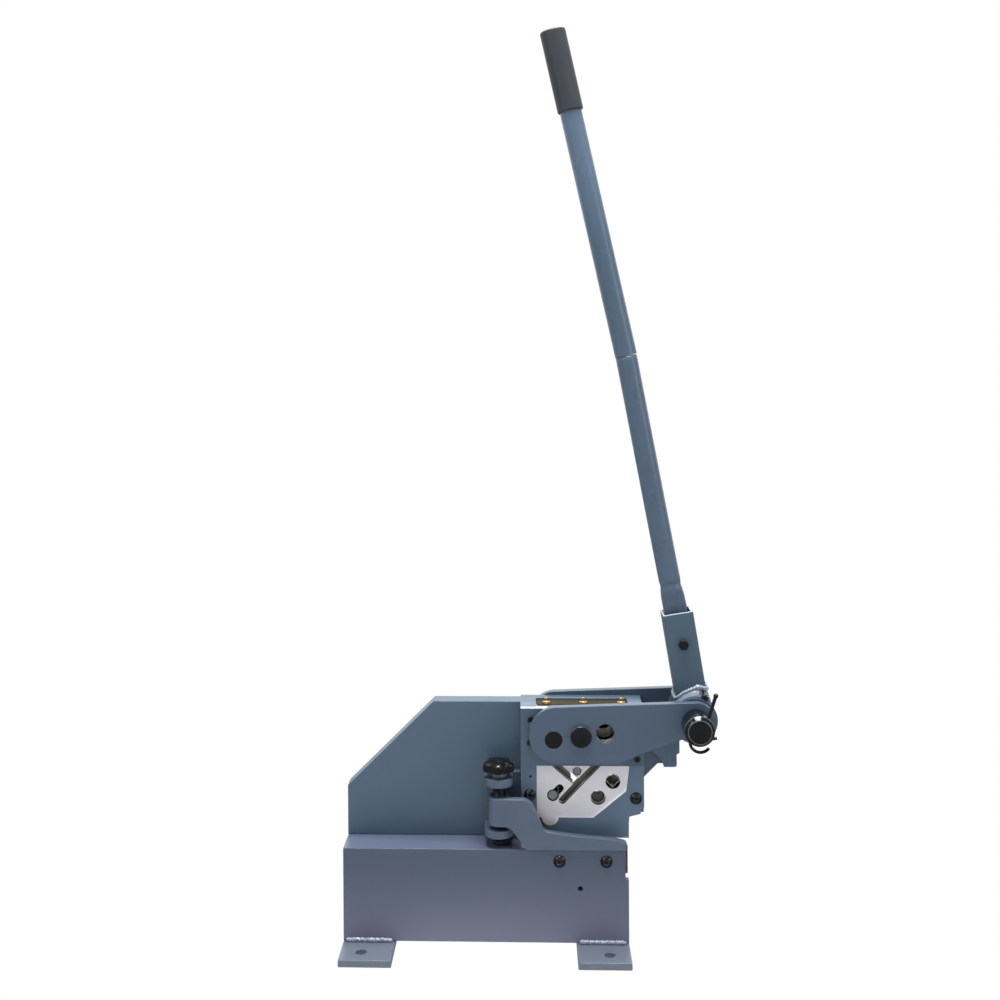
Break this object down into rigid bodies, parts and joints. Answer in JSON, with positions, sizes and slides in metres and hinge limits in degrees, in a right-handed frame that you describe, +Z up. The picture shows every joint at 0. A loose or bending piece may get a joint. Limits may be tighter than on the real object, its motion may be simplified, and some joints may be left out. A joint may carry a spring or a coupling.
{
  "type": "manual ironworker",
  "caption": "Bench ironworker: a long handle rocks a lever that drives a slide with blades for flat, angle, tee, round and square bar, with a screw hold-down.",
  "frame": {"origin": "centre of the foot bolt pattern, on the surface the feet stand on", "axes": "+X to the operator's right, towards the blades; +Y away from the operator; +Z up"},
  "size_m": [0.527, 0.226, 1.2997],
  "materials": {
    "paint": "semi-gloss blue-grey enamel",
    "foot_paint": "semi-gloss blue-grey enamel, lighter film",
    "bare_steel": "ground bare steel",
    "oiled_steel": "oiled tool steel, dark",
    "black_oxide": "black oxide, lightly oiled",
    "brass": "turned brass",
    "grip_rubber": "matt dark grey rubber",
    "knob_plastic": "moulded black plastic, satin"
  },
  "bodies": {
    "frame": {"left_foot": "foot_paint", "right_foot": "foot_paint", "foot_welds": "foot_paint", "base_channel": "paint", "base_screw": "black_oxide", "blade_spacer": "bare_steel", "lower_blade": "oiled_steel", "lower_blade_bolts": "black_oxide", "lower_blade_nuts": "black_oxide", "frame_plate": "paint", "left_guide_strip": "paint", "right_guide_strip": "paint", "apron_plate": "paint", "section_guide_plate": "bare_steel", "front_cover_band": "paint", "rear_cover_band": "paint", "cover_bolts": "black_oxide", "strip_bolts": "black_oxide", "locating_pins": "bare_steel", "reaction_bracket": "paint", "bracket_bolts": "black_oxide", "fulcrum_pin": "black_oxide", "fulcrum_clip": "bare_steel", "hold_down_bracket": "paint"},
    "arms": {"front_arm": "paint", "rear_arm": "paint", "arm_bushes": "bare_steel", "drive_pin": "black_oxide", "drive_clip": "bare_steel"},
    "handle": {"hub": "paint", "hub_lock_screw": "black_oxide", "hub_shaft": "black_oxide", "shaft_collar": "black_oxide", "crank_pin": "black_oxide", "hub_weld": "bare_steel", "nose_rod": "black_oxide", "hairpin_clip": "black_oxide", "handle_socket": "paint", "socket_bolt": "black_oxide", "socket_spacers": "bare_steel", "lower_tube": "paint", "upper_tube": "paint", "grip": "grip_rubber"},
    "roller": {"crank_roller": "bare_steel"},
    "slide_assembly": {"slide": "oiled_steel", "moving_section_blade": "bare_steel", "upper_blade": "oiled_steel", "blade_screws": "black_oxide", "oilers": "brass"},
    "screw": {"hold_down_screw": "black_oxide", "screw_nut": "bare_steel", "hold_down_knob": "knob_plastic"},
    "clamp": {"hold_down_arm": "paint"}
  },
  "joints": [
    {"name": "arms_rock", "type": "hinge", "parent": "frame", "child": "arms", "pos_m": [0.0964, 0, 0.2916], "axis": [0, 1, 0], "range_deg": [0, 9.55]},
    {"name": "handle_swing", "type": "hinge", "parent": "arms", "child": "handle", "pos_m": [0.295, 0, 0.316], "axis": [0, 1, 0], "range_deg": [0, 74]},
    {"name": "roller_turn", "type": "hinge", "parent": "handle", "child": "roller", "pos_m": [0.27636, 0, 0.29934], "axis": [0, 1, 0], "continuous": true},
    {"name": "slide_drop", "type": "slide", "parent": "frame", "child": "slide_assembly", "axis": [0, 0, -1], "range_m": [0, 0.00645]},
    {"name": "screw_turn", "type": "hinge", "parent": "frame", "child": "screw", "pos_m": [0.0187, -0.037, 0.244], "axis": [0, 0, -1], "range_deg": [0, 1728.5]},
    {"name": "clamp_lift", "type": "slide", "parent": "frame", "child": "clamp", "axis": [0, 0, 1], "range_m": [0, 0.012]}
  ],
  "couplings": [
    {"joint": "arms_rock", "follows": "handle_swing", "ratio": 0.12905},
    {"joint": "slide_drop", "follows": "handle_swing", "m_per_rad": 0.0049792},
    {"joint": "screw_turn", "follows": "clamp_lift", "rad_per_m": 2513.3}
  ]
}
